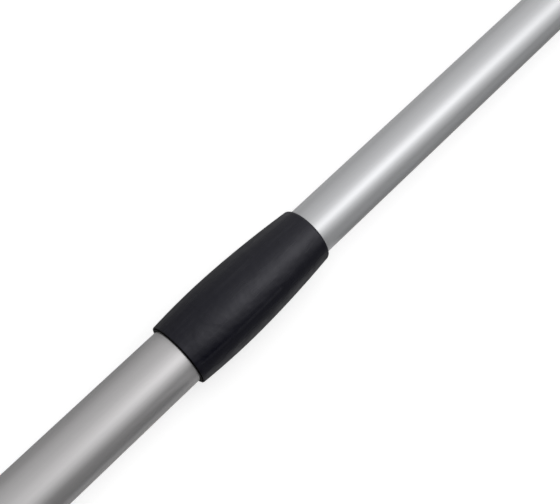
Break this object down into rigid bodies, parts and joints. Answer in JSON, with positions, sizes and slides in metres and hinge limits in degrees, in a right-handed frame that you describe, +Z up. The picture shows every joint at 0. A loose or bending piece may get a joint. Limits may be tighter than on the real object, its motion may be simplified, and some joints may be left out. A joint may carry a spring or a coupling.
{
  "type": "snow broom",
  "caption": "Telescopic snow broom: two aluminium tubes locked by a twist collar, a foam grip with a hanging eye, and a bristle head that swivels on a fork.",
  "frame": {"origin": "under the middle of the broom's bounding box, on the surface that it lies on", "axes": "+X along the pole towards the brush head, Y along the head's bar, +Z up"},
  "size_m": [1.225, 0.423, 0.036],
  "materials": {
    "tube_aluminium": "satin anodised",
    "collar_soft": "soft matte black",
    "black_plastic": "fine moulded grain",
    "foam": "closed-cell foam",
    "natural_nylon": "smooth moulded",
    "steel": "zinc plated",
    "bristle": "drawn filament"
  },
  "bodies": {
    "handle": {"outer_tube": "tube_aluminium", "foam_grip": "foam", "end_cap": "black_plastic", "threaded_sleeve": "black_plastic"},
    "clamp": {"clamp_bush": "natural_nylon"},
    "collar": {"collar_nut": "black_plastic", "collar_skin": "collar_soft"},
    "guide": {"guide_sleeve": "natural_nylon"},
    "shaft": {"inner_tube": "tube_aluminium", "tube_plug": "black_plastic", "head_fork": "black_plastic", "socket_screw": "steel", "swivel_bolt": "steel", "swivel_nut": "steel", "friction_washers": "natural_nylon"},
    "head": {"head_bar": "black_plastic", "bristle_row_1": "bristle", "bristle_row_2": "bristle", "bristle_row_3": "bristle", "bristle_row_4": "bristle"}
  },
  "joints": [
    {"name": "clamp_travel", "type": "slide", "parent": "handle", "child": "clamp", "axis": [1, 0, 0], "range_m": [0, 0.0015]},
    {"name": "collar_turn", "type": "hinge", "parent": "clamp", "child": "collar", "pos_m": [0.05647, 0, 0.018], "axis": [1, 0, 0], "range_deg": [0, 180]},
    {"name": "pole_extend", "type": "slide", "parent": "handle", "child": "guide", "axis": [1, 0, 0], "range_m": [-0.255, 0.215]},
    {"name": "inner_spin", "type": "hinge", "parent": "guide", "child": "shaft", "pos_m": [0.05647, 0, 0.018], "axis": [1, 0, 0], "range_deg": [-180, 180]},
    {"name": "head_pivot", "type": "hinge", "parent": "shaft", "child": "head", "pos_m": [0.44653, 0, 0.018], "axis": [0, 0, 1], "range_deg": [-90, 90]}
  ],
  "couplings": [
    {"joint": "clamp_travel", "follows": "collar_turn", "m_per_rad": 0.000477}
  ]
}
